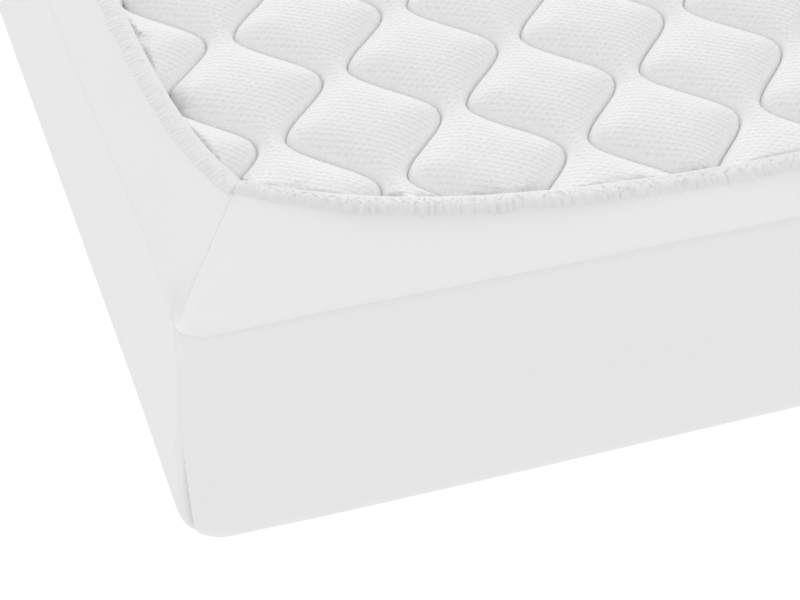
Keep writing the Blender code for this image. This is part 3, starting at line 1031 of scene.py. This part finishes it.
class Nodes:
    """Short calls for building one material's node tree."""

    def __init__(self, name):
        self.material = bpy.data.materials.new(name)
        self.material.use_nodes = True
        self.tree = self.material.node_tree
        self.shader = self.tree.nodes["Principled BSDF"]

    def add(self, kind, **settings):
        node = self.tree.nodes.new(kind)
        for key, value in settings.items():
            setattr(node, key, value)
        return node

    def link(self, source, target):
        self.tree.links.new(source, target)

    def math(self, operation, first, second=None):
        node = self.add("ShaderNodeMath", operation=operation)
        for socket, value in zip(node.inputs, (first, second)):
            if isinstance(value, (int, float)):
                socket.default_value = value
            elif value is not None:
                self.link(value, socket)
        return node.outputs[0]

    def split(self, vector):
        node = self.add("ShaderNodeSeparateXYZ")
        self.link(vector, node.inputs[0])
        return node.outputs

    def noise(self, vector, scale, detail):
        node = self.add("ShaderNodeTexNoise")
        node.inputs["Scale"].default_value = scale
        node.inputs["Detail"].default_value = detail
        self.link(vector, node.inputs["Vector"])
        return node.outputs["Fac"]

    def ramp(self, value, low, high):
        """0 to 1 with soft ends while the value goes from low to high."""
        node = self.add("ShaderNodeMapRange", interpolation_type="SMOOTHSTEP")
        node.inputs["From Min"].default_value = low
        node.inputs["From Max"].default_value = high
        self.link(value, node.inputs["Value"])
        return node.outputs["Result"]

    def bump(self, height, distance, after=None):
        node = self.add("ShaderNodeBump")
        node.inputs["Strength"].default_value = 1.0
        node.inputs["Distance"].default_value = distance
        self.link(height, node.inputs["Height"])
        if after is not None:
            self.link(after, node.inputs["Normal"])
        return node.outputs["Normal"]


def cloth_material(name, tones, roughness):
    """White cloth whose tone drifts a little; returns its nodes, UV and tone."""
    nodes = Nodes(name)
    uv = nodes.add("ShaderNodeUVMap", uv_map="Cloth").outputs["UV"]
    drift = nodes.noise(uv, *TONE_NOISE)
    ramp = nodes.add("ShaderNodeValToRGB")
    for element, tone, place in zip(ramp.color_ramp.elements, tones, TONE_PLACES):
        element.position = place
        element.color = (tone, tone, tone, 1.0)
    nodes.link(drift, ramp.inputs["Fac"])
    inputs = nodes.shader.inputs
    nodes.link(ramp.outputs["Color"], inputs["Base Color"])
    inputs["Roughness"].default_value = roughness
    inputs["Specular IOR Level"].default_value = SPECULAR
    inputs["Sheen Weight"].default_value = SHEEN
    inputs["Sheen Roughness"].default_value = SHEEN_ROUGHNESS
    return nodes, uv, ramp.outputs["Color"]


def sheet_material():
    """Fine jersey: wales up the cloth, courses across, and a little fuzz."""
    nodes, uv, _ = cloth_material("white_jersey", JERSEY_TONES, JERSEY_ROUGHNESS)
    split = nodes.split(uv)
    wale = nodes.math("COSINE", nodes.math("MULTIPLY", split["X"], WALES))
    course = nodes.math("COSINE", nodes.math("MULTIPLY", split["Y"], COURSES))
    knit = nodes.math("ADD", wale, nodes.math("MULTIPLY", course, COURSE_SHARE))
    fine = nodes.bump(knit, JERSEY_DEPTH)
    fuzz = nodes.noise(uv, *FUZZ_NOISE)
    nodes.link(nodes.bump(fuzz, FUZZ_DEPTH, fine), nodes.shader.inputs["Normal"])
    return nodes.material


def drifted(nodes, uv):
    """The UV pulled a little to and fro, so that the knit isn't quite even."""
    drift = nodes.add("ShaderNodeTexNoise")
    drift.inputs["Scale"].default_value = KNIT_DRIFT_SCALE
    nodes.link(uv, drift.inputs["Vector"])
    shift = nodes.add("ShaderNodeVectorMath", operation="SCALE")
    shift.inputs["Scale"].default_value = KNIT_DRIFT
    nodes.link(drift.outputs["Color"], shift.inputs[0])
    moved = nodes.add("ShaderNodeVectorMath", operation="ADD")
    nodes.link(uv, moved.inputs[0])
    nodes.link(shift.outputs[0], moved.inputs[1])
    return moved.outputs[0]


def knit_dimples(nodes, uv):
    """Crossing waves add up to rows of dimples, wider than they are long, some deeper than
    others, and pulled smooth low down beside the stitching."""
    split = nodes.split(drifted(nodes, uv))
    total = None
    for wave_x, wave_y, share in KNIT_WAVES:
        part_x = nodes.math("MULTIPLY", split["X"], 2 * math.pi * wave_x)
        part_y = nodes.math("MULTIPLY", split["Y"], 2 * math.pi * wave_y)
        wave = nodes.math("COSINE", nodes.math("ADD", part_x, part_y))
        wave = nodes.math("MULTIPLY", wave, share)
        total = wave if total is None else nodes.math("ADD", total, wave)
    patch = nodes.math("MULTIPLY", nodes.noise(uv, *PATCH_NOISE), PATCH_LEVEL)
    dimple = nodes.math("MULTIPLY", nodes.ramp(total, *DIMPLE_BAND), patch)
    height = nodes.split(nodes.add("ShaderNodeTexCoord").outputs["Object"])["Z"]
    return nodes.math("MULTIPLY", dimple, nodes.ramp(height, *KNIT_BAND))


def yarn_painted_highlights(nodes, uv):
    # Mask of the painted highlights: random specks where the base colour is brightened
    loops = nodes.add("ShaderNodeVectorMath", operation="MULTIPLY")
    nodes.link(uv, loops.inputs[0])
    loops.inputs[1].default_value = SPECK_SCALE
    return nodes.ramp(nodes.noise(loops.outputs[0], *SPECK_NOISE), *SPECK_BAND)


def ticking_material():
    """Honeycomb knit: its base colour carries painted shade in the dimples and painted
    highlights on specks of yarn, with bumps from the dimples and the fine yarn.
    """
    nodes, uv, tone = cloth_material("honeycomb_ticking", TICKING_TONES, TICKING_ROUGHNESS)
    dimple = knit_dimples(nodes, uv)
    # The dimples darken the base colour: painted shade in the knit's hollows
    dimple_painted_shade = nodes.math("SUBTRACT", 1.0, nodes.math("MULTIPLY", dimple, DIMPLE_PAINTED_SHADE))
    # The specks brighten the base colour: painted highlights on loops of yarn
    painted_highlight = nodes.math("MULTIPLY", yarn_painted_highlights(nodes, uv), SPECK_PAINTED_HIGHLIGHT)
    tone_with_painted_light = nodes.add("ShaderNodeVectorMath", operation="SCALE")
    nodes.link(tone, tone_with_painted_light.inputs[0])
    nodes.link(nodes.math("ADD", dimple_painted_shade, painted_highlight), tone_with_painted_light.inputs["Scale"])
    nodes.link(tone_with_painted_light.outputs[0], nodes.shader.inputs["Base Color"])
    cells = nodes.bump(nodes.math("SUBTRACT", 1.0, dimple), DIMPLE_DEPTH)
    yarn = nodes.noise(uv, *FUZZ_NOISE)
    nodes.link(nodes.bump(yarn, YARN_DEPTH, cells), nodes.shader.inputs["Normal"])
    return nodes.material


def floor_material():
    nodes = Nodes("pale_floor")
    inputs = nodes.shader.inputs
    inputs["Base Color"].default_value = (FLOOR_TONE, FLOOR_TONE, FLOOR_TONE, 1.0)
    inputs["Roughness"].default_value = FLOOR_ROUGHNESS
    inputs["Emission Color"].default_value = (1.0, 1.0, 1.0, 1.0)
    inputs["Emission Strength"].default_value = FLOOR_GLOW
    return nodes.material


# ---------------- stage, light, camera

def build_floor():
    mesh = bpy.data.meshes.new("floor")
    points = [(x * FLOOR_REACH, y * FLOOR_REACH, 0) for x, y in CORNER_SIGNS]
    mesh.from_pydata(points, [], [(0, 1, 2, 3)])
    mesh.materials.append(floor_material())
    floor = bpy.data.objects.new("floor", mesh)
    bpy.context.scene.collection.objects.link(floor)


def build_light():
    """White surroundings, a little brighter on the far side, and one broad soft light."""
    world = bpy.data.worlds.new("soft_studio")
    world.use_nodes = True
    tree = world.node_tree
    background = tree.nodes["Background"]
    background.inputs["Color"].default_value = (1.0, 1.0, 1.0, 1.0)
    coordinates = tree.nodes.new("ShaderNodeTexCoord")
    slant = tree.nodes.new("ShaderNodeVectorMath")
    slant.operation = "DOT_PRODUCT"
    slant.inputs[1].default_value = SKY_SLANT
    level = tree.nodes.new("ShaderNodeMath")
    level.operation = "ADD"
    level.inputs[1].default_value = SKY_LEVEL
    tree.links.new(coordinates.outputs["Generated"], slant.inputs[0])
    tree.links.new(slant.outputs["Value"], level.inputs[0])
    tree.links.new(level.outputs[0], background.inputs["Strength"])
    bpy.context.scene.world = world

    light = bpy.data.lights.new("window_side", "SUN")
    light.energy = WINDOW_POWER
    light.angle = math.radians(WINDOW_SPREAD)
    lamp = bpy.data.objects.new("window_side", light)
    lamp.rotation_euler = Vector(WINDOW_FROM).to_track_quat("Z", "Y").to_euler()
    bpy.context.scene.collection.objects.link(lamp)


def build_camera():
    turn, fall, roll = map(math.radians, (CAMERA_TURN, CAMERA_FALL, CAMERA_ROLL))
    forward = Vector((
        math.sin(turn) * math.cos(fall), math.cos(turn) * math.cos(fall), -math.sin(fall)))
    right = forward.cross(Vector((0, 0, 1))).normalized()
    up = right.cross(forward)
    right, up = (
        math.cos(roll) * right + math.sin(roll) * up,
        -math.sin(roll) * right + math.cos(roll) * up,
    )
    camera = bpy.data.cameras.new("photo_view")
    camera.lens = CAMERA_LENS
    camera.sensor_width = CAMERA_SENSOR
    item = bpy.data.objects.new("photo_view", camera)
    bpy.context.scene.collection.objects.link(item)
    item.matrix_world = (
        Matrix.Translation(CAMERA_PLACE)
        @ Matrix((right, up, -forward)).transposed().to_4x4()
    )
    bpy.context.scene.camera = item


# ---------------- the scene

build_camera()
build_light()
build_floor()
jersey = sheet_material()
sheet = build_sheet(jersey)
hems = [build_hem(side, jersey) for side in range(4)]
mattress = build_mattress(ticking_material())

bpy.context.scene.view_settings.view_transform = "Standard"
bpy.context.scene.view_settings.look = "None"
